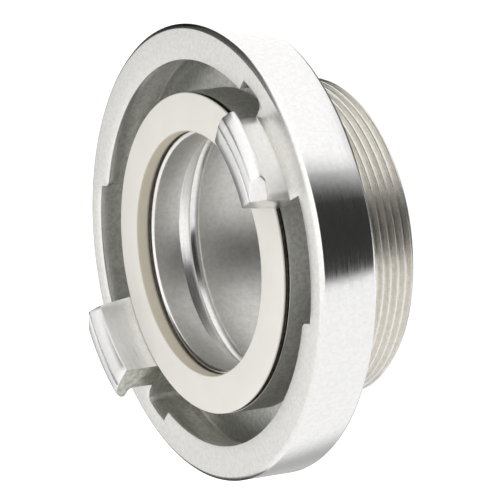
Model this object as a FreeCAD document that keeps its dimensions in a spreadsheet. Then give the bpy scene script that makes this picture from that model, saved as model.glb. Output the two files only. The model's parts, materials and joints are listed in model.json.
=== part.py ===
import FreeCAD, Part
import math
import os
import Sketcher

# Quarter turn hose coupling, fixed half with a male pipe thread.
# Millimetres. Z runs along the waterway from the threaded end (origin) to the mating face.
# X points at the middle of the first free slot side. Angles turn from X towards Y.

doc = FreeCAD.newDocument("quarter_turn_coupling")
sheet = doc.addObject("Spreadsheet::Sheet", "Sizes")

DRIVING_SIZES = [
    ("face_height", 41.2, "threaded end to the ring's mating face"),
    ("throat_radius", 32.4, "waterway at the seal end"),
    ("throat_lip_bevel", 0.8, "bevel on the throat's front edge"),
    ("throat_lip_bevel_depth", 0.5, "the same bevel along the axis"),
    ("throat_end_depth", 11.3, "mating face to the end of the throat"),
    ("flare_width", 3.6, "growth of the waterway's radius in the flare behind the throat"),
    ("flare_end_depth", 16.8, "mating face to the wide end of the flare"),
    ("relief_end_depth", 19.3, "mating face to the end of the relief behind the flare"),
    ("thread_radius", 43.94, "crests of the G 3 pipe thread"),
    ("thread_end_bevel", 1.1, "lead-in at the threaded end"),
    ("barrel_wall", 8.74, "thread crests to the rear bore"),
    ("rear_bore_bevel", 0.6, "inside edge of the threaded end"),
    ("lip_setback", 1.25, "throat to the edge of the seal's lip"),
    ("lip_overlap", 2.35, "edge of the lip to the bottom of the pressure groove behind it"),
    ("seal_foot_width", 2.5, "bottom of that groove to the wall of the counterbore"),
    ("seal_seat_depth", 2.75, "nozzle front to the floor of the counterbore"),
    ("seal_clearance", 0.1, "radial play of the seal's foot in the counterbore"),
    ("seal_edge_height", 0.75, "nozzle front to the head's outer edge"),
    ("seal_crown_rise", 0.8, "head's outer edge to the lip's front edge"),
    ("seal_lip_thickness", 2.5, "lip's front edge to the groove behind it"),
    ("seal_edge_bevel", 0.35, "bevel on the head's outer edge"),
    ("nozzle_wall", 5.85, "wall of the counterbore to the outside of the nozzle"),
    ("nozzle_bevel", 0.35, "bevel on the nozzle's front edge"),
    ("lug_nozzle_gap", 0.15, "outside of the nozzle to the inner face of a lug"),
    ("lug_thickness", 7.8, "inner face of a lug to the outside of its neck"),
    ("lug_hook_reach", 3.4, "outside of the neck to the nose of the hook"),
    ("lug_hook_height", 6.9, "mating face to the hook's underside at the neck"),
    ("lug_hook_rise", 0.8, "rise of the underside from the neck to the nose"),
    ("lug_nose_height", 1.4, "height of the nose"),
    ("lug_bevel_rise", 2.0, "height of the hook's outer bevel"),
    ("lug_bevel_width", 2.1, "width of that bevel"),
    ("lug_shoulder_rise", 0.3, "outer bevel up to the crown"),
    ("lug_crown_setback", 5.3, "nose to the line where the crown is highest"),
    ("lug_crown_fall", 0.8, "fall from the crown to the lug's inner edge"),
    ("lug_root_sink", 1.0, "how far the lug is carried down into its web"),
    ("lug_root_fillet", 0.8, "fillet at the foot of the neck"),
    ("lug_throat_bevel", 0.5, "corner between the neck and the hook's underside"),
    ("lug_edge_bevel", 0.4, "broken edges of the crown and of the nose"),
    ("lug_draft_angle", 7.0, "slope of the lug's first end"),
    ("lug_lead_turn", 13.0, "how far the lead-in faces back from X"),
    ("lug_lead_depth", 12.1, "nose to the lead-in, measured square to it at the crown"),
    ("lug_lead_slope", 30.0, "tilt of the lead-in against the axis"),
    ("lug_cut_margin", 1.0, "how far the cuts on a lug run past it"),
    ("lug_start_angle", 15.7, "first side of a lug and of the web under it"),
    ("lug_end_angle", 45.0, "last side of both"),
    ("flange_play", 0.9, "neck of the other half's lug to the flange's inner edge"),
    ("undercut_play", 1.15, "nose of the other half's hook to the wall of the undercut"),
    ("ring_wall", 6.15, "wall of the undercut to the outside of the ring"),
    ("ring_thickness", 16.9, "mating face to the ring's rear face"),
    ("ring_front_bevel", 1.2, "bevel on the ring's front edge, measured along the face"),
    ("ring_front_bevel_depth", 0.9, "the same bevel, measured along the axis"),
    ("ring_rear_bevel", 0.4, "bevel on the ring's rear edge"),
    ("channel_depth", 12.0, "mating face to the floor beside the nozzle"),
    ("undercut_step", 1.1, "that floor to the deeper floor of the undercut"),
    ("undercut_reach", 0.7, "how far the deeper floor reaches in from the flange's edge"),
    ("flange_entry_thickness", 6.0, "flange where a hook runs in"),
    ("flange_ramp_rise", 1.2, "growth of the flange from the entry to the stop"),
    ("ramp_overrun_angle", 2.0, "how far the ramp's cut runs out into the slots"),
    ("ramp_cut_height", 2.0, "height of the cut that forms the ramp"),
    ("ramp_corner", 0.3, "corner that the ramp's cut leaves at the undercut wall"),
    ("flange_corner_radius", 1.2, "rounding of the flange's inner corners at the slots"),
    ("slot_start_angle", -19.5, "first edge of the slot that a lug drops into"),
    ("slot_end_angle", 55.4, "last edge of that slot"),
    ("web_corner_radius", 2.2, "milled corners between the slot's wall and the web"),
]

# Sizes that follow from the driving ones: every radius is built on the one inside it
DERIVED_SIZES = [
    ("flare_radius", "throat_radius + flare_width", "wide end of the flare"),
    ("rear_bore_radius", "thread_radius - barrel_wall", "waterway behind the flare"),
    ("seal_inner_radius", "throat_radius + lip_setback", "opening of the seal's lip"),
    ("seal_groove_radius", "seal_inner_radius + lip_overlap", "bottom of the pressure groove"),
    ("seal_seat_radius", "seal_groove_radius + seal_foot_width", "counterbore of the seal's foot"),
    ("nozzle_radius", "seal_seat_radius + nozzle_wall", "outside of the nozzle"),
    ("seal_radius", "nozzle_radius - nozzle_bevel", "outside of the seal's head"),
    ("seal_height", "seal_edge_height + seal_crown_rise", "nozzle front to the lip's front"),
    ("lug_inner_radius", "nozzle_radius + lug_nozzle_gap", "half of the spacing of the lugs"),
    ("lug_neck_radius", "lug_inner_radius + lug_thickness", "outside of the lug's neck"),
    ("lug_nose_radius", "lug_neck_radius + lug_hook_reach", "outside of the hook"),
    ("lug_shoulder_radius", "lug_nose_radius - lug_bevel_width", "inner end of the outer bevel"),
    ("lug_crown_radius", "lug_nose_radius - lug_crown_setback", "where the crown is highest"),
    ("lug_lead_distance", "lug_nose_radius - lug_lead_depth", "axis to the lead-in"),
    ("lug_nose_bottom", "lug_hook_height + lug_hook_rise", "mating face to the nose"),
    ("lug_nose_top", "lug_nose_bottom + lug_nose_height", "mating face to the outer bevel"),
    ("lug_shoulder", "lug_nose_top + lug_bevel_rise", "mating face to the end of the bevel"),
    ("lug_height", "lug_shoulder + lug_shoulder_rise", "mating face to the crown"),
    ("flange_radius", "lug_neck_radius + flange_play", "inner edge of the flange"),
    ("undercut_radius", "lug_nose_radius + undercut_play", "wall of the undercut and slots"),
    ("channel_step_radius", "flange_radius - undercut_reach", "where the floor steps down"),
    ("undercut_depth", "channel_depth + undercut_step", "mating face to the deeper floor"),
    ("ring_radius", "undercut_radius + ring_wall", "outside of the ring"),
]


class Size:
    """A length or angle that keeps the sheet's formula beside its number."""

    def __init__(self, formula, number):
        self.formula = formula
        self.number = number

    def __add__(self, other):
        return Size(f"({self.formula} + {other.formula})", self.number + other.number)

    def __sub__(self, other):
        return Size(f"({self.formula} - {other.formula})", self.number - other.number)

    def __mul__(self, other):
        return Size(f"({self.formula} * {other.formula})", self.number * other.number)

    def __truediv__(self, other):
        return Size(f"({self.formula} / {other.formula})", self.number / other.number)


TWO = Size("2", 2.0)
QUARTER_TURN = Size("90", 90.0)
HALF_TURN = Size("180", 180.0)
FULL_TURN = Size("360", 360.0)


def fill_sheet():
    """Write the driving sizes, then the formulas, and give each cell its name."""
    formulas = [(name, f"={formula}", meaning) for name, formula, meaning in DERIVED_SIZES]
    for row, (name, content, meaning) in enumerate(DRIVING_SIZES + formulas, start=1):
        sheet.set(f"A{row}", name)
        sheet.set(f"B{row}", str(content))
        sheet.set(f"C{row}", meaning)
        sheet.setAlias(f"B{row}", name)
    doc.recompute()


def size(name):
    """One named size from the sheet."""
    return Size(f"Sizes.{name}", float(sheet.get(name)))


def depth(name):
    """Height of something that is measured down from the mating face."""
    return size("face_height") - size(name)


def above(name):
    """Height of something that is measured up from the mating face."""
    return size("face_height") + size(name)


def tangent(angle):
    """Tangent of an angle in degrees."""
    return Size(f"tan({angle.formula} * 1deg)", math.tan(math.radians(angle.number)))


def new_piece(name):
    """A body at the common origin, labelled with the piece's name."""
    body = doc.addObject("PartDesign::Body", name)
    body.Label = name
    body.Placement = FreeCAD.Placement(FreeCAD.Vector(0, 0, 0), FreeCAD.Rotation())
    return body


def origin_plane(body, role):
    """The body's own origin plane with that role."""
    planes = [item for item in body.Origin.OriginFeatures if item.Role == role]
    return planes[0]


def profile(body, name, corners, turn=None):
    """A closed outline of (radius, height) corners, on the plane through the axis at an angle."""
    sketch = body.newObject("Sketcher::SketchObject", name)
    sketch.AttachmentSupport = [(origin_plane(body, "XZ_Plane"), "")]
    sketch.MapMode = "FlatFace"
    if turn is not None:
        axis = FreeCAD.Vector(0, 1, 0)
        sketch.AttachmentOffset = FreeCAD.Placement(
            FreeCAD.Vector(0, 0, 0), FreeCAD.Rotation(axis, turn.number))
        sketch.setExpression("AttachmentOffset.Rotation.Angle", turn.formula)
    points = [FreeCAD.Vector(r.number, z.number, 0) for r, z in corners]
    count = len(points)
    for index in range(count):
        sketch.addGeometry(Part.LineSegment(points[index], points[(index + 1) % count]), False)
    for index in range(count):
        following = (index + 1) % count
        sketch.addConstraint(Sketcher.Constraint("Coincident", index, 2, following, 1))
    for index, (r, z) in enumerate(corners):
        across = sketch.addConstraint(Sketcher.Constraint("DistanceX", -1, 1, index, 1, r.number))
        up = sketch.addConstraint(Sketcher.Constraint("DistanceY", -1, 1, index, 1, z.number))
        sketch.setExpression(f"Constraints[{across}]", r.formula)
        sketch.setExpression(f"Constraints[{up}]", z.formula)
    doc.recompute()
    return sketch


def turned(body, kind, name, sketch, angle=None):
    """Turn a profile about the axis: a full ring, or a sector centred on the sketch's plane."""
    feature = body.newObject(f"PartDesign::{kind}", name)
    feature.Profile = sketch
    feature.ReferenceAxis = (sketch, ["V_Axis"])
    if angle is None:
        feature.Angle = 360
    else:
        feature.Midplane = True
        feature.Angle = angle.number
        feature.setExpression("Angle", angle.formula)
    doc.recompute()
    return feature


def pocket(body, name, sketch, length, both_ways):
    """Cut a profile straight out of the body, square to its plane."""
    feature = body.newObject("PartDesign::Pocket", name)
    feature.Profile = sketch
    feature.Midplane = both_ways
    feature.Reversed = not both_ways
    feature.Length = length.number
    feature.setExpression("Length", length.formula)
    doc.recompute()
    return feature


def helical_cut(body, name, sketch, rise, turns):
    """Sweep a profile up and round the axis and take it out of the body."""
    feature = body.newObject("PartDesign::SubtractiveHelix", name)
    feature.Profile = sketch
    feature.ReferenceAxis = (sketch, ["V_Axis"])
    feature.Mode = "height-turns-angle"
    feature.Height = rise.number
    feature.Turns = turns.number
    feature.setExpression("Height", rise.formula)
    feature.setExpression("Turns", turns.formula)
    doc.recompute()
    return feature


def arcs_at(shape, radius, height):
    """Names of the edges that circle the axis at a radius and a height."""
    names = []
    for index, edge in enumerate(shape.Edges, start=1):
        if not isinstance(edge.Curve, Part.Circle):
            continue
        same_radius = abs(edge.Curve.Radius - radius) < 0.01
        same_height = abs(edge.Curve.Center.z - height) < 0.01
        if same_radius and same_height:
            names.append(f"Edge{index}")
    return names


def uprights_at(shape, radius, low, high, shortest):
    """Names of the straight edges along the axis at a radius, between two heights."""
    names = []
    for index, edge in enumerate(shape.Edges, start=1):
        ends = [vertex.Point for vertex in edge.Vertexes]
        if len(ends) != 2 or not isinstance(edge.Curve, Part.Line):
            continue
        heights = sorted(point.z for point in ends)
        radii = [math.hypot(point.x, point.y) for point in ends]
        on_radius = all(abs(value - radius) < 0.01 for value in radii)
        inside = heights[0] > low - 0.01 and heights[1] < high + 0.01
        if on_radius and inside and heights[1] - heights[0] > shortest:
            names.append(f"Edge{index}")
    return names


def dress(body, kind, name, edges, amount):
    """Round or bevel named edges of the body's last feature."""
    base = body.Tip
    feature = body.newObject(f"PartDesign::{kind}", name)
    feature.Base = (base, edges)
    setting = "Radius" if kind == "Fillet" else "Size"
    setattr(feature, setting, amount.number)
    feature.setExpression(setting, amount.formula)
    doc.recompute()
    return feature


def coupling_body():
    """The one-piece metal half: ring, flange, nozzle, threaded barrel and two hooked lugs."""
    body = new_piece("coupling_body")
    face = size("face_height")
    zero = size("face_height") - size("face_height")
    thick_flange = size("flange_entry_thickness") + size("flange_ramp_rise")

    # Turned blank with the undercut at its full ramp height
    blank = profile(body, "blank_profile", [
        (size("rear_bore_radius") + size("rear_bore_bevel"), zero),
        (size("thread_radius") - size("thread_end_bevel"), zero),
        (size("thread_radius"), size("thread_end_bevel")),
        (size("thread_radius"), depth("ring_thickness")),
        (size("ring_radius") - size("ring_rear_bevel"), depth("ring_thickness")),
        (size("ring_radius"), depth("ring_thickness") + size("ring_rear_bevel")),
        (size("ring_radius"), depth("ring_front_bevel_depth")),
        (size("ring_radius") - size("ring_front_bevel"), face),
        (size("flange_radius"), face),
        (size("flange_radius"), face - thick_flange),
        (size("undercut_radius"), face - thick_flange),
        (size("undercut_radius"), depth("undercut_depth")),
        (size("channel_step_radius"), depth("undercut_depth")),
        (size("channel_step_radius"), depth("channel_depth")),
        (size("nozzle_radius"), depth("channel_depth")),
        (size("nozzle_radius"), depth("nozzle_bevel")),
        (size("nozzle_radius") - size("nozzle_bevel"), face),
        (size("seal_seat_radius"), face),
        (size("seal_seat_radius"), depth("seal_seat_depth")),
        (size("throat_radius") + size("throat_lip_bevel"), depth("seal_seat_depth")),
        (size("throat_radius"), depth("seal_seat_depth") - size("throat_lip_bevel_depth")),
        (size("throat_radius"), depth("throat_end_depth")),
        (size("flare_radius"), depth("flare_end_depth")),
        (size("flare_radius"), depth("relief_end_depth")),
        (size("rear_bore_radius"), depth("relief_end_depth")),
        (size("rear_bore_radius"), size("rear_bore_bevel")),
    ])
    turned(body, "Revolution", "blank", blank)

    # Slot that lets the other half's lug through the flange
    slot_span = size("slot_end_angle") - size("slot_start_angle")
    slot_middle = (size("slot_end_angle") + size("slot_start_angle")) / TWO
    slot_high = face + size("lug_root_sink")
    slot_profile = profile(body, "slot_profile", [
        (size("channel_step_radius"), depth("undercut_depth")),
        (size("undercut_radius"), depth("undercut_depth")),
        (size("undercut_radius"), slot_high),
        (size("channel_step_radius"), slot_high),
    ], slot_middle)
    slot = turned(body, "Groove", "slot", slot_profile, slot_span)

    # Web that ties nozzle and ring together below the lug
    lug_span = size("lug_end_angle") - size("lug_start_angle")
    lug_middle = (size("lug_end_angle") + size("lug_start_angle")) / TWO
    web_low = depth("undercut_depth") - size("lug_root_sink")
    web_outer = size("undercut_radius") + size("lug_root_sink")
    web_inner = size("nozzle_radius") - size("nozzle_bevel")
    web_profile = profile(body, "web_profile", [
        (web_inner, web_low),
        (web_outer, web_low),
        (web_outer, face),
        (web_inner, face),
    ], lug_middle)
    web = turned(body, "Revolution", "web", web_profile, lug_span)

    # Hooked lug
    edge = size("lug_edge_bevel")
    throat = size("lug_throat_bevel")
    overhang = size("lug_nose_radius") - size("lug_neck_radius")
    hook_slope = (size("lug_nose_bottom") - size("lug_hook_height")) / overhang
    crown_width = size("lug_crown_radius") - size("lug_inner_radius")
    crown_slope = size("lug_crown_fall") / crown_width
    crown_edge = above("lug_height") - size("lug_crown_fall")
    lug_profile = profile(body, "lug_profile", [
        (size("lug_inner_radius"), depth("lug_root_sink")),
        (size("lug_neck_radius"), depth("lug_root_sink")),
        (size("lug_neck_radius"), above("lug_hook_height") - throat),
        (size("lug_neck_radius") + throat, above("lug_hook_height") + hook_slope * throat),
        (size("lug_nose_radius") - edge, above("lug_nose_bottom") - hook_slope * edge),
        (size("lug_nose_radius"), above("lug_nose_bottom") + edge),
        (size("lug_nose_radius"), above("lug_nose_top")),
        (size("lug_shoulder_radius"), above("lug_shoulder")),
        (size("lug_crown_radius"), above("lug_height")),
        (size("lug_inner_radius") + edge, crown_edge + crown_slope * edge),
        (size("lug_inner_radius"), crown_edge - edge),
    ], lug_middle)
    lug = turned(body, "Revolution", "lug", lug_profile, lug_span)

    # Draft on the lug's first end, then the lead-in that trims the hook there
    margin = size("lug_cut_margin")
    past_crown = above("lug_height") + margin
    draft_shift = tangent(size("lug_draft_angle")) * (size("lug_height") + margin)
    draft_profile = profile(body, "lug_draft_profile", [
        (zero, face),
        (draft_shift, past_crown),
        (zero - margin, past_crown),
        (zero - margin, face),
    ], size("lug_start_angle") + QUARTER_TURN)
    draft = pocket(body, "lug_draft", draft_profile, size("lug_nose_radius") + margin, False)
    lead_low = above("lug_hook_height") - margin
    lead_run = size("lug_height") - size("lug_hook_height") + margin
    lead_tilt = tangent(size("lug_lead_slope"))
    lead_profile = profile(body, "lug_lead_profile", [
        (size("lug_lead_distance") - lead_tilt * margin, past_crown),
        (size("lug_lead_distance") + lead_tilt * lead_run, lead_low),
        (size("lug_nose_radius") + margin, lead_low),
        (size("lug_nose_radius") + margin, past_crown),
    ], zero - size("lug_lead_turn"))
    lead = pocket(body, "lug_lead", lead_profile, size("lug_nose_radius") * TWO, True)

    # Ramp that the other half's hook climbs: the flange thickens from its entry to its stop
    flange_span = size("slot_start_angle") + HALF_TURN - size("slot_end_angle")
    overrun = size("ramp_overrun_angle")
    overrun_rise = size("flange_ramp_rise") * overrun / flange_span
    ramp_top = face - thick_flange - overrun_rise
    ramp_profile = profile(body, "ramp_profile", [
        (size("channel_step_radius"), ramp_top - size("ramp_cut_height")),
        (size("undercut_radius") - size("ramp_corner"), ramp_top - size("ramp_cut_height")),
        (size("undercut_radius") - size("ramp_corner"), ramp_top),
        (size("channel_step_radius"), ramp_top),
    ], size("slot_end_angle") - overrun)
    ramp_rise = size("flange_ramp_rise") + overrun_rise + overrun_rise
    ramp_turns = (flange_span + overrun + overrun) / FULL_TURN
    ramp = helical_cut(body, "ramp", ramp_profile, ramp_rise, ramp_turns)

    # The same features again, half a turn away
    other_side = body.newObject("PartDesign::PolarPattern", "other_side")
    other_side.Originals = [slot, web, lug, draft, lead, ramp]
    other_side.Axis = (blank, ["V_Axis"])
    other_side.Angle = 360
    other_side.Occurrences = 2
    body.Tip = other_side
    doc.recompute()
    finish_edges(body)
    return body


def finish_edges(body):
    """Corners of flange and slots and feet of the lugs, found on both sides by their place."""
    face = size("face_height").number
    flange_low = face - size("flange_entry_thickness").number - size("flange_ramp_rise").number
    corners = uprights_at(body.Tip.Shape, size("flange_radius").number, flange_low, face, 1.0)
    dress(body, "Fillet", "flange_corners", corners, size("flange_corner_radius"))

    slot_low = depth("undercut_depth").number
    wall = size("undercut_radius").number
    pockets = uprights_at(body.Tip.Shape, wall, slot_low, face, face - slot_low - 0.1)
    dress(body, "Fillet", "web_corners", pockets, size("web_corner_radius"))

    roots = arcs_at(body.Tip.Shape, size("lug_neck_radius").number, face)
    dress(body, "Fillet", "lug_roots", roots, size("lug_root_fillet"))


def seal_ring():
    """The rubber lip seal: wide head on the nozzle, foot in the counterbore, groove behind the lip."""
    body = new_piece("seal_ring")
    face = size("face_height")
    foot_radius = size("seal_seat_radius") - size("seal_clearance")
    groove_top = above("seal_height") - size("seal_lip_thickness")
    head_width = size("seal_radius") - size("seal_inner_radius")
    head_slope = (size("seal_height") - size("seal_edge_height")) / head_width
    edge = size("seal_edge_bevel")
    section = profile(body, "seal_profile", [
        (foot_radius, face),
        (foot_radius, depth("seal_seat_depth")),
        (size("seal_groove_radius"), depth("seal_seat_depth")),
        (size("seal_groove_radius"), groove_top),
        (size("seal_inner_radius"), groove_top),
        (size("seal_inner_radius"), above("seal_height")),
        (size("seal_radius") - edge, above("seal_edge_height") + head_slope * edge),
        (size("seal_radius"), above("seal_edge_height") - edge),
        (size("seal_radius"), face),
    ])
    turned(body, "Revolution", "seal", section)
    return body


def check_and_write(bodies):
    """Stop on any failed feature or bad solid, then write one file for each piece."""
    for item in doc.Objects:
        if "Invalid" in item.State or "Error" in item.State:
            raise RuntimeError(f"{item.Name} failed: {item.State}")
    for body in bodies:
        if body.Shape.isNull() or not body.Shape.isValid():
            raise RuntimeError(f"{body.Label} has no valid solid")
    os.makedirs("parts", exist_ok=True)
    for body in bodies:
        body.Shape.exportStep(os.path.join("parts", f"{body.Label}.step"))
        box = body.Shape.BoundBox
        print(body.Label, len(body.Shape.Solids), round(body.Shape.Volume), box)


fill_sheet()
pieces = [coupling_body(), seal_ring()]
doc.recompute()
check_and_write(pieces)
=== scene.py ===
import json
import math

import bmesh
import bpy
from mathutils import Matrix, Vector


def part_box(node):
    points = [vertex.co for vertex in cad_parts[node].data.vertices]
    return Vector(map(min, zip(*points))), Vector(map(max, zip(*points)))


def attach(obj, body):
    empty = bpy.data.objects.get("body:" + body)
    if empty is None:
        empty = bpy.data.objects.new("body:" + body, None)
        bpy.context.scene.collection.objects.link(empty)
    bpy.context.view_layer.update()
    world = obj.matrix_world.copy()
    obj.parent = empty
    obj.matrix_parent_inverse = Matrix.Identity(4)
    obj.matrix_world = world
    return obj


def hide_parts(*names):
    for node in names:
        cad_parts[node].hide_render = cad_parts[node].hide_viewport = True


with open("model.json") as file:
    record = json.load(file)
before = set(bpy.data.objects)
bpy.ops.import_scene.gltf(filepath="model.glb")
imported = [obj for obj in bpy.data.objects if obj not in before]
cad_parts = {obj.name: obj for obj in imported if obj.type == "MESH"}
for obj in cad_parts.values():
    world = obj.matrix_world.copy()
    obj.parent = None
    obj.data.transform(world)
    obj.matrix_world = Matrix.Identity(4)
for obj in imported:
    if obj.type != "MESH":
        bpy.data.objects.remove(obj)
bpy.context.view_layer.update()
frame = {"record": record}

# Coupling body, turned part
# One aluminium forging, turned all over: ring, slotted flange, nozzle, waterway and barrel.
# Its section runs round the axis and changes from sector to sector where slots and webs are milled.

MM = 0.001
hair, hair_turn = 0.01 * MM, 0.01
merge_distance = 0.002 * MM
mounts = {mount["name"]: mount for mount in frame["record"]["mounts"]}
face_height = mounts["quarter_turn_lugs"]["pos_m"][2]
ring_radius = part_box("coupling_body")[1].x
ring_rear = mounts["ring_rear_face"]["pos_m"][2]
throat_radius = mounts["throat_bore"]["dims"]["r_mm"] * MM
rear_bore_radius = mounts["rear_bore"]["dims"]["r_mm"] * MM
thread_radius = mounts["pipe_thread"]["dims"]["r_mm"] * MM
thread_end_bevel = 1.1 * MM
barrel_margin = 0.5 * MM

ring_front_bevel = (1.2 * MM, 0.9 * MM)
ring_rear_bevel = 0.4 * MM
nozzle_radius = 44.35 * MM
nozzle_rebate = (0.8 * MM, 1.1 * MM)
seal_seat_radius = 38.5 * MM
seal_seat_depth = 2.75 * MM
throat_lip = (0.8 * MM, 0.5 * MM)
throat_end = 11.3 * MM
flare_radius = 36.0 * MM
flare_end = 16.8 * MM
relief_end = 19.3 * MM
rear_bore_bevel = 0.6 * MM
channel_depth = 12.0 * MM
channel_step_radius = 52.5 * MM
undercut_depth = 13.1 * MM
undercut_radius = 56.85 * MM
flange_radius = 53.2 * MM
flange_entry = 6.0 * MM
flange_ramp_rise = 1.2 * MM
flange_corner = 1.4 * MM
flange_end_lean = 1.1 * MM
web_corner = 2.2 * MM
slot_start, slot_end = -19.5, 55.4
lug_start, lug_end = 15.7, 45.0


def spread(start, end, step=1.0, end_step=3.2):
    """Angles from start to end: a wider first and last step leaves room for a corner's rounding."""
    first, last = start + end_step, end - end_step
    if last - first < step:
        return [start, (start + end) / 2, end]
    count = math.ceil((last - first) / step)
    inner = [first + (last - first) * index / count for index in range(count + 1)]
    return [start] + inner + [end]


def placed(point, angle):
    """Where a (radius, height) point lies at an angle; a third value leans it along the ring."""
    radius, height, *lean = point
    bearing = math.radians(angle) + sum(lean) / radius
    return radius * math.cos(bearing), radius * math.sin(bearing), height


def sweep_sector(mesh, angles, section_at):
    """Turn an open section of points through the angles and skin it."""
    previous = None
    for angle in angles:
        column = [mesh.verts.new(placed(point, angle)) for point in section_at(angle)]
        if previous:
            for low in range(len(column) - 1):
                corners = (previous[low], column[low], column[low + 1], previous[low + 1])
                mesh.faces.new(corners)
        previous = column


def milled_wall(mesh, angle, outline):
    """Flat wall across the section where two sectors meet."""
    mesh.faces.new([mesh.verts.new(placed(point, angle)) for point in outline])


def below(depth):
    """Height of something measured down from the mating face."""
    return face_height - depth


slot_lip = (undercut_radius, face_height)
nozzle_edge = (nozzle_radius - nozzle_rebate[0], face_height)
channel_floor = [
    (nozzle_radius - nozzle_rebate[0], below(nozzle_rebate[1])),
    (nozzle_radius, below(nozzle_rebate[1])),
    (nozzle_radius, below(channel_depth)),
    (channel_step_radius, below(channel_depth)),
    (channel_step_radius, below(undercut_depth)),
    (undercut_radius, below(undercut_depth)),
]


def flange_thickness(angle):
    """The flange grows from its entry to its stop, so that the other half's hook climbs it."""
    span = slot_start + 180 - slot_end
    past_stop = (angle - slot_end + 1) % 180 - 1
    return flange_entry + flange_ramp_rise * (1 - past_stop / span)


def slot_wall(angle):
    """The slot's outer wall, with a corner where the nearer end of the flange meets it."""
    past_start = (angle - slot_start + 1) % 180
    before_lug = past_start < (lug_start + lug_end) / 2 - slot_start
    end_thickness = flange_entry if before_lug else flange_entry + flange_ramp_rise
    return [(undercut_radius, below(end_thickness)), slot_lip]


def slot_section(angle):
    return [nozzle_edge] + channel_floor + slot_wall(angle)


def flange_end(angle):
    """How far the flange's end leans along the ring, because a straight cut made it."""
    if abs(angle % 180 - slot_end) < hair_turn:
        return flange_end_lean
    return -flange_end_lean if abs(angle % 180 - slot_start - 180) < hair_turn else 0.0


def flange_lip(angle):
    """The flange's outer, inner and front corner, from the undercut's wall to the front face."""
    underside, lean = below(flange_thickness(angle)), flange_end(angle)
    return [
        (undercut_radius, underside),
        (flange_radius, underside, lean),
        (flange_radius, face_height, lean),
    ]


def flange_section(angle):
    return [nozzle_edge] + channel_floor + flange_lip(angle) + [slot_lip]


def flange_wall(angle):
    """Outline of the flange's end, where it meets a slot."""
    outer, inner, front = flange_lip(angle)
    return [inner, outer, slot_lip, front]


# Hooked lug
# Each of the two lugs stands on a solid web between nozzle and ring, and its hook points outwards.
# They are milled from the forging; the crown is slightly roofed, and the hook's ends are eased.

# Radius and height above the ring's face in millimetres; a fine groove runs along the crown
lug_outline = [
    (44.5, 0.0),
    (44.5, 10.6),
    (50.2, 11.37),
    (50.35, 11.15),
    (50.55, 11.15),
    (50.7, 11.37),
    (53.6, 11.1),
    (55.7, 9.1),
    (55.7, 7.7),
    (52.8, 7.02),
    (52.3, 6.4),
    (52.3, 0.0),
]
lug_points = [(radius * MM, face_height + height * MM) for radius, height in lug_outline]
lug_draft = math.tan(math.radians(7))
drafted_points = [
    (radius, height, lug_draft * (height - face_height)) for radius, height in lug_points]
lead_turn, lead_slope = math.radians(-13), math.radians(30)
lead_distance, crown_height = 43.6 * MM, face_height + 11.4 * MM
shortest_edge = 0.13 * MM


def lug_section(angle):
    drafted = angle % 180 < lug_start + hair_turn
    return [nozzle_edge] + (drafted_points if drafted else lug_points) + [slot_lip]


def cut_lead_in(mesh, half_turn):
    """Trim the hook's first end with a slanted plane, close the cut and merge short edges.
    Everything goes in a fixed order, because the merging depends on it."""
    turn = lead_turn + math.radians(half_turn)
    outwards = Vector((math.cos(turn), math.sin(turn), 0))
    normal = outwards * math.cos(lead_slope) + Vector((0, 0, math.sin(lead_slope)))
    on_plane = outwards * lead_distance + Vector((0, 0, crown_height))
    hook = []
    for face in mesh.faces:
        middle = face.calc_center_median()
        if middle.z > face_height + 1 * MM and middle @ outwards > 0:
            hook.append(face)
    near = hook + list(dict.fromkeys(edge for face in hook for edge in face.edges))
    near += list(dict.fromkeys(vertex for face in hook for vertex in face.verts))
    cut = bmesh.ops.bisect_plane(
        mesh, geom=near, dist=hair, plane_co=on_plane, plane_no=normal, clear_outer=True)
    rim = [item for item in cut["geom_cut"] if isinstance(item, bmesh.types.BMEdge)]
    bmesh.ops.edgeloop_fill(mesh, edges=rim)
    corners = list(dict.fromkeys(vertex for edge in rim for vertex in edge.verts))
    beside = [edge.other_vert(vertex) for vertex in corners for edge in vertex.link_edges]
    bmesh.ops.remove_doubles(mesh, verts=list(dict.fromkeys(corners + beside)), dist=shortest_edge)
    return [vertex for vertex in corners if vertex.is_valid]


body_mesh = bmesh.new()
sectors = [
    (slot_start, lug_start, slot_section),
    (lug_start, lug_end, lug_section),
    (lug_end, slot_end, slot_section),
    (slot_end, slot_start + 180, flange_section),
]
all_angles = []
for half_turn in (0, 180):
    for start, end, section in sectors:
        angles = spread(start + half_turn, end + half_turn)
        all_angles += angles[:-1]
        sweep_sector(body_mesh, angles, section)
    web_side = slot_section(lug_start) + [lug_points[-1], lug_points[0]]
    milled_wall(body_mesh, lug_start + half_turn, web_side)
    milled_wall(body_mesh, lug_start + half_turn, drafted_points)
    milled_wall(body_mesh, lug_end + half_turn, slot_section(lug_end) + lug_points[::-1])
    milled_wall(body_mesh, slot_end + half_turn, flange_wall(slot_end))
    milled_wall(body_mesh, slot_start + half_turn, flange_wall(slot_start + 180))
all_angles.append(all_angles[0] + 360)


def turned_section(angle):
    """From the ring's face round the outside, barrel and waterway to the nozzle's front."""
    return [
        slot_lip,
        (ring_radius - ring_front_bevel[0], face_height),
        (ring_radius, below(ring_front_bevel[1])),
        (ring_radius, ring_rear + ring_rear_bevel),
        (ring_radius - ring_rear_bevel, ring_rear),
        (thread_radius + 2 * barrel_margin, ring_rear),
    ]


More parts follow.
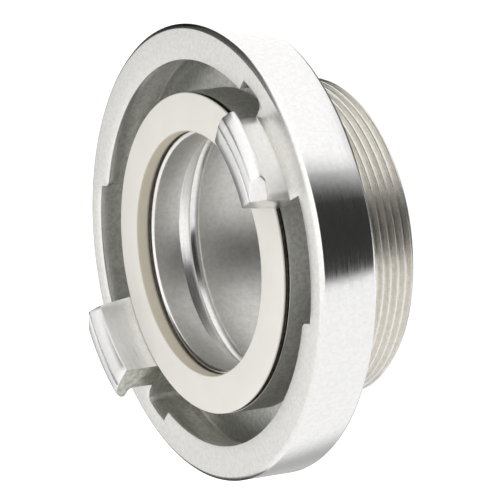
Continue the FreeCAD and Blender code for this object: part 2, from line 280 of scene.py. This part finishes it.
def waterway_section(angle):
    """From the threaded end's face up the waterway and over the seal's seat."""
    return [
        (thread_radius - thread_end_bevel - 3 * barrel_margin, 0),
        (rear_bore_radius + rear_bore_bevel, 0),
        (rear_bore_radius, rear_bore_bevel),
        (rear_bore_radius, below(relief_end)),
        (flare_radius, below(relief_end)),
        (flare_radius, below(flare_end)),
        (throat_radius, below(throat_end)),
        (throat_radius, below(seal_seat_depth + throat_lip[1])),
        (throat_radius + throat_lip[0], below(seal_seat_depth)),
        (seal_seat_radius, below(seal_seat_depth)),
        (seal_seat_radius, face_height),
        nozzle_edge,
    ]


sweep_sector(body_mesh, all_angles, turned_section)
sweep_sector(body_mesh, all_angles, waterway_section)
bmesh.ops.remove_doubles(body_mesh, verts=body_mesh.verts, dist=merge_distance)
lead_corners = set(cut_lead_in(body_mesh, 0) + cut_lead_in(body_mesh, 180))


def polar(vertex):
    """Radius, angle and height of a mesh corner."""
    angle = math.degrees(math.atan2(vertex.co.y, vertex.co.x))
    return math.hypot(vertex.co.x, vertex.co.y), angle, vertex.co.z


def crossing_edges(mesh, radius_range, height_range, angles):
    """Edges that lie in one of the sector walls, within ranges of radius and height."""
    found = []
    for edge in mesh.edges:
        spots = [polar(vertex) for vertex in edge.verts]
        for angle in angles:
            turned = [(spot[1] - angle + 180) % 360 - 180 for spot in spots]
            if max(abs(value) for value in turned) > hair_turn:
                continue
            radii = [spot[0] for spot in spots]
            heights = [spot[2] for spot in spots]
            if min(radii) < radius_range[0] or max(radii) > radius_range[1]:
                continue
            if min(heights) < height_range[0] or max(heights) > height_range[1]:
                continue
            found.append(edge)
    return found


def round_corners(mesh, edges, radius):
    """A cutter leaves its own radius in a corner: draw it with five flats."""
    bmesh.ops.bevel(mesh, geom=edges, offset=radius, segments=5, profile=0.5, affect="EDGES")


lean_angle = math.degrees(flange_end_lean / flange_radius)
flange_ends = [angle + half_turn for angle in (slot_start - lean_angle, slot_end + lean_angle)
               for half_turn in (0, 180)]
flange_radii = (flange_radius - hair, flange_radius + hair)
flange_heights = (below(flange_entry + 2 * flange_ramp_rise), face_height + hair)
flange_corners = crossing_edges(body_mesh, flange_radii, flange_heights, flange_ends)
round_corners(body_mesh, flange_corners, flange_corner)
lug_ends = [angle + half_turn for angle in (lug_start, lug_end) for half_turn in (0, 180)]
wall_radii = (undercut_radius - hair, undercut_radius + hair)
wall_heights = (below(undercut_depth) - hair, face_height + hair)
web_corners = crossing_edges(body_mesh, wall_radii, wall_heights, lug_ends)
round_corners(body_mesh, web_corners, web_corner)

# Broken edges are eased a little, the hook and the channel's floor corner more
sharp_angle = math.radians(28)
edge_round, lug_edge_round = 0.18 * MM, 0.4 * MM
hook_underside = face_height + 6.6 * MM
edge_weight = body_mesh.edges.layers.float.new("bevel_weight_edge")
for edge in body_mesh.edges:
    if len(edge.link_faces) == 2 and edge.calc_face_angle() > sharp_angle:
        heights = [vertex.co.z for vertex in edge.verts]
        by_lead_in = any(vertex in lead_corners for vertex in edge.verts)
        on_hook = min(heights) > hook_underside and not by_lead_in
        on_floor = max(heights) < below(channel_depth) + hair and heights[0] > ring_rear + hair
        in_undercut = min(polar(vertex)[0] for vertex in edge.verts) > channel_step_radius - hair
        rounded = on_hook or on_floor and in_undercut
        edge[edge_weight] = 1.0 if rounded else edge_round / lug_edge_round


# Pipe thread
# The barrel carries a male G 3 pipe thread, 11 to the inch, cut with a single point.
# Its crests and roots are rounded, it starts in the end bevel and runs out below the ring.

thread_pitch = 25.4 / 11 * MM
thread_depth = 0.640327 * thread_pitch
thread_runout = 1.5 * thread_pitch
steps_round, rows_a_turn = 360, 12


def add_node(tree, kind, settings=None, links=None):
    """Add a node, set its properties or sockets by name, and link named sockets to outputs."""
    node = tree.nodes.new(kind)
    for key, value in (settings or {}).items():
        if isinstance(key, str) and hasattr(node, key):
            setattr(node, key, value)
        else:
            node.inputs[key].default_value = value
    for key, output in (links or {}).items():
        tree.links.new(output, node.inputs[key])
    return node


# Each step is a name, an operation and what it takes: numbers, inputs of the tree or earlier steps.
# Rows below the first full turn and above the last are pressed flat on the barrel's two ends.
ROWS_AND_HEIGHT = [
    ("around", "ADD", "x", 0.5),
    ("turn", "MULTIPLY", "around", math.tau),
    ("last row", "SUBTRACT", "Rows", 1),
    ("up", "ADD", "y", 0.5),
    ("row place", "MULTIPLY", "up", "last row"),
    ("row", "ROUND", "row place"),
    ("lead rows", "ADD", "Rows a turn", 1),
    ("rows up", "SUBTRACT", "row", "lead rows"),
    ("turns up", "DIVIDE", "rows up", "Rows a turn"),
    ("climb", "ADD", "turns up", "around"),
    ("free height", "MULTIPLY", "climb", "Pitch"),
    ("under ring", "MINIMUM", "free height", "Length"),
    ("height", "MAXIMUM", "under ring", 0.0),
]
# A cosine cut off softly at crest and root has the thread's straight flanks and rounded tips.
tip_level, tip_softness, flank_swing = 0.5, 0.12, 0.62
THREAD_FORM = [
    ("turns", "DIVIDE", "height", "Pitch"),
    ("phase", "SUBTRACT", "turns", "around"),
    ("wave angle", "MULTIPLY", "phase", math.tau),
    ("wave", "COSINE", "wave angle"),
    ("swing", "MULTIPLY", "wave", flank_swing),
    ("rooted", "SMOOTH_MAX", "swing", -tip_level, tip_softness),
    ("flank", "SMOOTH_MIN", "rooted", tip_level, tip_softness),
    ("share", "SUBTRACT", tip_level, "flank"),
    ("to ring", "SUBTRACT", "Length", "height"),
    ("ran out", "DIVIDE", "to ring", "Run-out"),
    ("fade", "MINIMUM", "ran out", 1.0),
    ("faded share", "MULTIPLY", "share", "fade"),
    ("cut", "MULTIPLY", "faded share", "Depth"),
    ("threaded", "SUBTRACT", "Crest radius", "cut"),
]
END_BEVEL_AND_RIMS = [
    ("cone foot", "SUBTRACT", "Crest radius", "End bevel"),
    ("cone", "ADD", "cone foot", "height"),
    ("barrel", "MINIMUM", "threaded", "cone"),
    ("two margins", "MULTIPLY", "Margin", 2),
    ("inset", "SUBTRACT", "cone foot", "two margins"),
    ("outset", "ADD", "Crest radius", "Margin"),
    ("is first", "COMPARE", "row", 0, 0.1),
    ("is last", "COMPARE", "row", "last row", 0.1),
    ("to inset", "SUBTRACT", "inset", "barrel"),
    ("inwards", "MULTIPLY", "is first", "to inset"),
    ("with inset", "ADD", "barrel", "inwards"),
    ("to outset", "SUBTRACT", "outset", "with inset"),
    ("outwards", "MULTIPLY", "is last", "to outset"),
    ("radius", "ADD", "with inset", "outwards"),
    ("cosine", "COSINE", "turn"),
    ("sine", "SINE", "turn"),
    ("out x", "MULTIPLY", "radius", "cosine"),
    ("out y", "MULTIPLY", "radius", "sine"),
]


def helix_tree():
    """A grid is rolled round the axis, and its rows climb with the thread."""
    tree = bpy.data.node_groups.new("pipe_thread", "GeometryNodeTree")
    interface = tree.interface
    interface.new_socket("Geometry", in_out="OUTPUT", socket_type="NodeSocketGeometry")
    for name in ("Crest radius", "Pitch", "Depth", "Length", "End bevel", "Run-out", "Margin"):
        interface.new_socket(name, in_out="INPUT", socket_type="NodeSocketFloat")
    for name in ("Steps round", "Rows", "Rows a turn"):
        interface.new_socket(name, in_out="INPUT", socket_type="NodeSocketInt")
    interface.new_socket("Material", in_out="INPUT", socket_type="NodeSocketMaterial")
    given = add_node(tree, "NodeGroupInput").outputs

    grid = add_node(tree, "GeometryNodeMeshGrid", {"Size X": 1.0, "Size Y": 1.0}, {
        "Vertices X": given["Steps round"], "Vertices Y": given["Rows"]})
    position = add_node(tree, "GeometryNodeInputPosition").outputs[0]
    axes = add_node(tree, "ShaderNodeSeparateXYZ", links={"Vector": position}).outputs
    known = {socket.name: socket for socket in given if socket.name}
    known.update({"x": axes["X"], "y": axes["Y"]})
    for name, operation, *taken in ROWS_AND_HEIGHT + THREAD_FORM + END_BEVEL_AND_RIMS:
        settings, links = {"operation": operation, "label": name}, {}
        for slot, value in enumerate(taken):
            if isinstance(value, str):
                links[slot] = known[value]
            else:
                settings[slot] = value
        known[name] = add_node(tree, "ShaderNodeMath", settings, links).outputs[0]
    place = add_node(tree, "ShaderNodeCombineXYZ", links={
        "X": known["out x"], "Y": known["out y"], "Z": known["height"]})
    moved = add_node(tree, "GeometryNodeSetPosition", links={
        "Geometry": grid.outputs["Mesh"], "Position": place.outputs[0]})
    merged = add_node(tree, "GeometryNodeMergeByDistance", {"Distance": merge_distance}, {
        "Geometry": moved.outputs[0]})
    real = add_node(tree, "GeometryNodeRealizeInstances", links={"Geometry": merged.outputs[0]})
    painted = add_node(tree, "GeometryNodeSetMaterial", links={
        "Geometry": real.outputs[0], "Material": given["Material"]})
    add_node(tree, "NodeGroupOutput", links={"Geometry": painted.outputs[0]})
    return tree


def made_by(tree, name, inputs):
    """The plain mesh that a Geometry Nodes tree makes with these inputs."""
    holder = bpy.data.objects.new(name, bpy.data.meshes.new(name))
    bpy.context.scene.collection.objects.link(holder)
    modifier = holder.modifiers.new(name, "NODES")
    modifier.node_group = tree
    for item in tree.interface.items_tree:
        if item.in_out == "INPUT" and item.name in inputs:
            modifier[item.identifier] = inputs[item.name]
    graph = bpy.context.evaluated_depsgraph_get()
    mesh = bpy.data.meshes.new_from_object(holder.evaluated_get(graph))
    bpy.data.objects.remove(holder)
    return mesh


# Finish of the metal
# Bare aluminium alloy, forged and then turned, with the fine rings that the tool leaves.
# To the eye it is light grey and satin, with soft streaks of its surroundings.

# Real rings lie about 0.1 mm apart. They are drawn coarser, because the picture can't show them.
ring_spacing = 0.3125 * MM
ring_wander = 4.0
mottling_size = 4 / 3 * MM
tool_mark_depth, tool_mark_strength = 0.02 * MM, 0.12


def linear(code):
    """An sRGB hex colour as the linear values that the shader takes."""
    values = []
    for start in (0, 2, 4):
        share = int(code[start:start + 2], 16) / 255
        low = share / 12.92
        high = ((share + 0.055) / 1.055) ** 2.4
        values.append(low if share <= 0.04045 else high)
    return (*values, 1.0)


def zone(tree, *limits):
    """Soft zone where all limits hold: each a share, or a value, where it starts and is full."""
    within = None
    for limit in limits:
        if isinstance(limit, tuple):
            value, start, full = limit
            limit = add_node(tree, "ShaderNodeMapRange", {
                "interpolation_type": "SMOOTHSTEP", "From Min": start, "From Max": full}, {
                "Value": value}).outputs[0]
        if within:
            limit = add_node(tree, "ShaderNodeMath", {"operation": "MULTIPLY"}, {
                0: within, 1: limit}).outputs[0]
        within = limit
    return within


def band(value, starts, full, still_full, ends):
    """The two limits of a zone that a value enters and leaves again."""
    return (value, starts, full), (value, ends, still_full)


def from_axis(tree, spot):
    """How far a spot lies from the axis, its place seen along the axis, and its height."""
    axes = add_node(tree, "ShaderNodeSeparateXYZ", links={"Vector": spot}).outputs
    flat = add_node(tree, "ShaderNodeCombineXYZ", links={"X": axes["X"], "Y": axes["Y"]}).outputs[0]
    radius = add_node(tree, "ShaderNodeVectorMath", {"operation": "LENGTH"}, {0: flat})
    return radius.outputs["Value"], flat, axes["Z"]


def turned_aluminium():
    """Turned aluminium: satin in front, duller in channel and bore, warmer in the thread."""
    material = bpy.data.materials.new("turned_aluminium")
    material.use_nodes = True
    tree = material.node_tree
    tree.nodes.clear()
    coordinates = add_node(tree, "ShaderNodeTexCoord").outputs
    radius, flat, height = from_axis(tree, coordinates["Object"])
    heading = add_node(tree, "ShaderNodeVectorMath", {"operation": "NORMALIZE"}, {
        0: flat}).outputs["Vector"]
    heading_axes = add_node(tree, "ShaderNodeSeparateXYZ", links={"Vector": heading}).outputs

    # The tool's rings run round the axis and wander a little on the way
    climb = add_node(tree, "ShaderNodeMath", {"operation": "ADD"}, {0: radius, 1: height})
    fine = add_node(tree, "ShaderNodeMath", {
        "operation": "MULTIPLY", 1: 1 / (ring_spacing * ring_wander)}, {0: climb.outputs[0]})
    drawn = add_node(tree, "ShaderNodeCombineXYZ", links={
        "X": heading_axes["X"], "Y": heading_axes["Y"], "Z": fine.outputs[0]})
    rings = add_node(tree, "ShaderNodeTexNoise", {
        "Scale": ring_wander, "Detail": 3.0, "Roughness": 0.6}, {
        "Vector": drawn.outputs[0]}).outputs["Fac"]
    cloud = add_node(tree, "ShaderNodeTexNoise", {
        "Scale": 1 / mottling_size, "Detail": 5.0, "Roughness": 0.7}, {
        "Vector": coordinates["Object"]}).outputs["Fac"]
    mottle = zone(tree, (cloud, 0.36, 0.66))

    # The waterway below the seal's seat is duller, but hardly so in flare and relief
    flare = zone(tree, *band(
        height, below(relief_end), below(relief_end - 0.1 * MM),
        below(throat_end), below(throat_end - 0.1 * MM)))
    outside_flare = add_node(tree, "ShaderNodeMath", {
        "operation": "MULTIPLY_ADD", 1: -0.8, 2: 1.0}, {0: flare}).outputs[0]
    bore = zone(
        tree, (radius, seal_seat_radius + 0.3 * MM, seal_seat_radius),
        (height, below(seal_seat_depth), below(seal_seat_depth + 1 * MM)), outside_flare)

    # The channel is duller too, but for the corner at its floor: smoother there from the tool's
    # nose, and kept lighter as a painted highlight
    corner = zone(
        tree, (radius, undercut_radius - 0.6 * MM, undercut_radius - 0.4 * MM),
        (height, below(undercut_depth - 0.5 * MM), below(undercut_depth - 0.3 * MM)))
    off_corner_highlight = add_node(tree, "ShaderNodeMath", {"operation": "SUBTRACT", 0: 1.0}, {
        1: corner}).outputs[0]
    channel = zone(
        tree, *band(
            radius, nozzle_radius - 0.2 * MM, nozzle_radius - 0.1 * MM,
            undercut_radius + 0.1 * MM, undercut_radius + 0.2 * MM),
        *band(height, ring_rear, ring_rear + 0.5 * MM, below(3 * MM), below(0.2 * MM)), off_corner_highlight)

    # Painted shade in the nozzle's rebate, under the seal's edge
    gap = zone(
        tree, *band(radius, 43.3 * MM, 43.5 * MM, 44.1 * MM, 44.3 * MM),
        *band(height, below(1.6 * MM), below(1.4 * MM), below(0.1 * MM), below(0.01 * MM)))

    # The front face, and in front whatever faces ahead round the axis, as the lugs' second ends do;
    # these milled ends are rougher, and their darker greenish grey is painted shade
    front = zone(tree, (height, below(0.7 * MM), below(0.1 * MM)))
    face = zone(tree, front, (height, face_height + 0.6 * MM, face_height + 0.2 * MM))
    ahead = add_node(tree, "ShaderNodeVectorMath", {
        "operation": "CROSS_PRODUCT", 0: (0.0, 0.0, 1.0)}, {1: heading}).outputs["Vector"]
    facing = add_node(tree, "ShaderNodeVectorMath", {"operation": "DOT_PRODUCT"}, {
        0: ahead, 1: coordinates["Normal"]}).outputs["Value"]
    milled_end_shade = zone(tree, (facing, 0.8, 0.95), front)

    # The barrel below the ring, outside the waterway
    barrel = zone(
        tree, (height, ring_rear, ring_rear - 0.3 * MM),
        (radius, thread_radius - 2.8 * MM, thread_radius - 2.2 * MM))

    # Each zone has a light and a dark tone, which the mottling mixes
    grey = add_node(tree, "ShaderNodeMix", {
        "data_type": "RGBA", 6: linear("F1F1F0"), 7: linear("EBEAE8")}, {0: mottle})
    tones = [
        (face, "F1EFEB", "E5E3DE"),
        (bore, "DBDAD6", "CECDC8"),
        (channel, "DEDEDA", "C2C2BC"),
        (barrel, "F0EEE8", "E5E1D9"),
        # The milled ends' greenish greys: painted shade
        (milled_end_shade, "C8C8BE", "A2A298"),
        # The rebate's dark brown tones are painted shade
        (gap, "655F54", "464138"),
    ]
    for place, light, dark in tones:
        tone = add_node(tree, "ShaderNodeMix", {
            "data_type": "RGBA", 6: linear(light), 7: linear(dark)}, {0: mottle})
        grey = add_node(tree, "ShaderNodeMix", {"data_type": "RGBA"}, {
            0: place, 6: grey.outputs[2], 7: tone.outputs[2]})

    # Smooth where the tool ran last, and rougher zone by zone
    rough = add_node(tree, "ShaderNodeMapRange", {
        "From Min": 0.3, "From Max": 0.7, "To Min": 0.10, "To Max": 0.20}, {
        "Value": rings}).outputs[0]
    extras = [
        (front, 0.16), (bore, 0.28), (channel, 0.28), (milled_end_shade, 0.1), (barrel, 0.14), (gap, 0.2)]
    for place, extra in extras:
        rough = add_node(tree, "ShaderNodeMath", {"operation": "MULTIPLY_ADD", 1: extra}, {
            0: place, 2: rough}).outputs[0]

    # Tool marks and grain, twice as deep on the front and in the channel
    grain = add_node(tree, "ShaderNodeMath", {"operation": "MULTIPLY_ADD", 1: 0.45}, {
        0: cloud, 2: rings})
    front_depth = add_node(tree, "ShaderNodeMath", {"operation": "ADD", 0: 1.0}, {1: front})
    deeper = add_node(tree, "ShaderNodeMath", {"operation": "ADD"}, {
        0: front_depth.outputs[0], 1: channel})
    surface = add_node(tree, "ShaderNodeMath", {"operation": "MULTIPLY"}, {
        0: grain.outputs[0], 1: deeper.outputs[0]})
    bump = add_node(tree, "ShaderNodeBump", {
        "Strength": tool_mark_strength, "Distance": tool_mark_depth}, {
        "Height": surface.outputs[0]})
    shader = add_node(tree, "ShaderNodeBsdfPrincipled", {"Metallic": 1.0}, {
        "Base Color": grey.outputs[2], "Roughness": rough, "Normal": bump.outputs[0]})
    add_node(tree, "ShaderNodeOutputMaterial", links={"Surface": shader.outputs[0]})
    return material


aluminium = turned_aluminium()
thread_mesh = made_by(helix_tree(), "thread", {
    "Crest radius": thread_radius,
    "Pitch": thread_pitch,
    "Depth": thread_depth,
    "Length": ring_rear,
    "End bevel": thread_end_bevel,
    "Run-out": thread_runout,
    "Margin": barrel_margin,
    "Steps round": steps_round + 1,
    "Rows": int((ring_rear / thread_pitch + 2) * rows_a_turn) + 2,
    "Rows a turn": rows_a_turn,
    "Material": aluminium,
})


crease_angle = math.radians(32)


def finished_piece(name, mesh, material, easing, segments):
    """A named object whose weighted edges are eased and whose flats stay flat."""
    data = bpy.data.meshes.new(name)
    mesh.to_mesh(data)
    mesh.free()
    data.materials.clear()
    data.materials.append(material)
    piece = bpy.data.objects.new(name, data)
    bpy.context.scene.collection.objects.link(piece)
    bevel = piece.modifiers.new("eased edges", "BEVEL")
    bevel.limit_method = "WEIGHT"
    bevel.width = easing
    bevel.segments = segments
    bevel.use_clamp_overlap = False
    graph = bpy.context.evaluated_depsgraph_get()
    eased = bpy.data.meshes.new_from_object(piece.evaluated_get(graph))
    piece.modifiers.clear()
    piece.data = eased
    eased.shade_smooth()
    eased.set_sharp_from_angle(angle=crease_angle)
    return piece


def join_rims(mesh, height):
    """Close the flat gap between the barrel's rim and the turned part's rim at this height."""
    rim = list(dict.fromkeys(
        vertex for edge in mesh.edges if edge.is_boundary for vertex in edge.verts
        if abs(vertex.co.z - height) < hair))
    middle = sum(polar(vertex)[0] for vertex in rim) / len(rim)
    around = sorted(rim, key=lambda vertex: polar(vertex)[1])
    latest = {polar(vertex)[0] > middle: vertex for vertex in around}
    for vertex in around:
        mesh.faces.new((latest[True], latest[False], vertex))
        latest[polar(vertex)[0] > middle] = vertex


body_mesh.from_mesh(thread_mesh)
for height in (0, ring_rear):
    join_rims(body_mesh, height)
bmesh.ops.recalc_face_normals(body_mesh, faces=body_mesh.faces)
body = finished_piece("turned_body", body_mesh, aluminium, lug_edge_round, 2)
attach(body, "root")
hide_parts("coupling_body")

# Seal ring
# Moulded cream rubber: a wide head lies on the nozzle's rim and a foot sits in its counterbore.
# Behind the lip runs the groove that lets the water press the lip forwards.

seal_edge_round = 0.3 * MM
rubber_cloud_size = 100 / 9 * MM
# Radius and height above the ring's face in millimetres
seal_outline = [
    (38.4, 0.0),
    (38.4, -2.75),
    (36.0, -2.75),
    (36.0, -0.95),
    (34.9, -0.95),
    (34.4, -2.2),
    (33.65, -2.2),
    (33.65, 1.55),
    (44.2, 0.75),
    (44.2, 0.0),
]
seal_points = [(radius * MM, face_height + height * MM) for radius, height in seal_outline]
seal_points.append(seal_points[0])
seal_mesh = bmesh.new()
sweep_sector(seal_mesh, range(steps_round + 1), lambda angle: seal_points)
bmesh.ops.remove_doubles(seal_mesh, verts=seal_mesh.verts, dist=merge_distance)
bmesh.ops.recalc_face_normals(seal_mesh, faces=seal_mesh.faces)
seal_weight = seal_mesh.edges.layers.float.new("bevel_weight_edge")
for edge in seal_mesh.edges:
    if edge.calc_face_angle() > sharp_angle:
        edge[seal_weight] = 1.0


def moulded_rubber():
    """Smooth moulded rubber, slightly clouded, with a soft sheen."""
    material = bpy.data.materials.new("moulded_rubber")
    material.use_nodes = True
    tree = material.node_tree
    tree.nodes.clear()
    spot = add_node(tree, "ShaderNodeTexCoord").outputs["Object"]
    cloud = add_node(tree, "ShaderNodeTexNoise", {"Scale": 1 / rubber_cloud_size, "Detail": 3.0}, {
        "Vector": spot})
    cream = add_node(tree, "ShaderNodeMix", {
        "data_type": "RGBA", 6: linear("F3F0EA"), 7: linear("E8E5DC")}, {0: cloud.outputs["Fac"]})

    # Painted shade: a little on the lip's inner edge, and darker deep in the groove
    radius, _, height = from_axis(tree, spot)
    lip_edge = zone(tree, (radius, 34.1 * MM, 33.75 * MM))
    groove = zone(tree, (height, below(1.2 * MM), below(2.2 * MM)))
    for place, painted_shade in ((lip_edge, "CFC7B5"), (groove, "6F6553")):
        cream = add_node(tree, "ShaderNodeMix", {"data_type": "RGBA", 7: linear(painted_shade)}, {
            0: place, 6: cream.outputs[2]})
    shader = add_node(tree, "ShaderNodeBsdfPrincipled", {"Roughness": 0.5}, {
        "Base Color": cream.outputs[2]})
    add_node(tree, "ShaderNodeOutputMaterial", links={"Surface": shader.outputs[0]})
    return material


seal = finished_piece("lip_seal", seal_mesh, moulded_rubber(), seal_edge_round, 4)
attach(seal, "root")
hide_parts("seal_ring")

# Floor, light and camera
# A plain white table under an even white sky, seen from above and from one side.
# The camera lies on its side, so that the waterway runs across the picture.

floor_half = 3.0
floor_data = bpy.data.meshes.new("floor")
floor_corners = [(-floor_half, -floor_half, 0), (floor_half, -floor_half, 0),
                 (floor_half, floor_half, 0), (-floor_half, floor_half, 0)]
floor_data.from_pydata(floor_corners, [], [(0, 1, 2, 3)])
floor = bpy.data.objects.new("floor", floor_data)
bpy.context.scene.collection.objects.link(floor)
floor_paint = bpy.data.materials.new("white_table")
floor_paint.use_nodes = True
floor_shader = floor_paint.node_tree.nodes["Principled BSDF"]
floor_shader.inputs["Base Color"].default_value = linear("D8D8D8")
floor_shader.inputs["Roughness"].default_value = 0.8
floor_shader.inputs["Emission Color"].default_value = linear("FFFFFF")
floor_shader.inputs["Emission Strength"].default_value = 0.8
floor_data.materials.append(floor_paint)
# The metal mirrors only the walls and the cards, which give it its tones
floor.visible_glossy = False

# White walls all round, and cards whose reflections draw the metal's edges. Each card's bearings,
# about its middle, and its rises are four angles: where it starts, is full, is still full and ends.
# Its last number is the share of the light that it takes away.
white_walls = 1.22
CARDS = [
    ("behind", 0, (-83, -77, 47, 53), (-20, -14, 11, 17), 0.94),
    ("side", 0, (-84, -76, -18, -10), (-4, 4, 62, 70), 0.94),
    ("front", 180, (-22, -15, 21, 48), (-85, -80, 20, 30), 0.97),
    ("above", 0, (-40, -25, 30, 45), (14, 22, 36, 50), 0.30),
    ("right", 90, (-70, -50, 65, 75), (-75, -65, 66, 78), 0.15),
    ("low", 0, (2, 14, 42, 70), (-62, -52, -18, -8), 0.55),
    ("under", 0, (-160, -120, 15, 45), (-91, -90, -50, -38), 0.92),
    ("far", -90, (-55, -40, 42, 56), (-48, -40, -20, -12), 0.07),
]


def studio_sky():
    """Even white walls with soft-edged cards."""
    sky = bpy.data.worlds.new("studio")
    sky.use_nodes = True
    tree = sky.node_tree
    tree.nodes.clear()
    way = add_node(tree, "ShaderNodeTexCoord").outputs["Generated"]
    axes = add_node(tree, "ShaderNodeSeparateXYZ", links={"Vector": way}).outputs
    rise = add_node(tree, "ShaderNodeMath", {"operation": "ARCSINE"}, {0: axes["Z"]}).outputs[0]
    passing = []
    for name, middle, bearings, rises, depth in CARDS:
        turned = add_node(tree, "ShaderNodeVectorRotate", {
            "rotation_type": "Z_AXIS", "Angle": -math.radians(middle)}, {"Vector": way})
        turned_axes = add_node(tree, "ShaderNodeSeparateXYZ", links={
            "Vector": turned.outputs[0]}).outputs
        bearing = add_node(tree, "ShaderNodeMath", {"operation": "ARCTAN2"}, {
            0: turned_axes["Y"], 1: turned_axes["X"]}).outputs[0]
        across, up = map(math.radians, bearings), map(math.radians, rises)
        card = zone(tree, *band(bearing, *across), *band(rise, *up))
        passing.append(add_node(tree, "ShaderNodeMapRange", {
            "label": name, "To Min": 1.0, "To Max": 1 - depth}, {"Value": card}).outputs[0])
    light = add_node(tree, "ShaderNodeMath", {"operation": "MULTIPLY", 1: white_walls}, {
        0: zone(tree, *passing)})
    walls = add_node(tree, "ShaderNodeBackground", {"Color": (1.0, 1.0, 1.0, 1.0)}, {
        "Strength": light.outputs[0]})
    add_node(tree, "ShaderNodeOutputWorld", links={"Surface": walls.outputs[0]})
    return sky


bpy.context.scene.world = studio_sky()
bpy.context.scene.view_settings.view_transform = "Standard"

# A long lens about 1.8 m away, fitted to circles and corners of the coupling
camera_data = bpy.data.cameras.new("camera")
camera_data.lens = 477.27
camera_data.sensor_width = 36.0
camera_data.clip_start = 0.1
camera_data.clip_end = 20.0
camera = bpy.data.objects.new("camera", camera_data)
bpy.context.scene.collection.objects.link(camera)
camera.location = Vector((-1.58280, -0.11019, 0.88800)) + Vector((0, 0, face_height))
camera.rotation_euler = [math.radians(angle) for angle in (-13.9085, 59.3634, 167.9720)]
bpy.context.scene.camera = camera
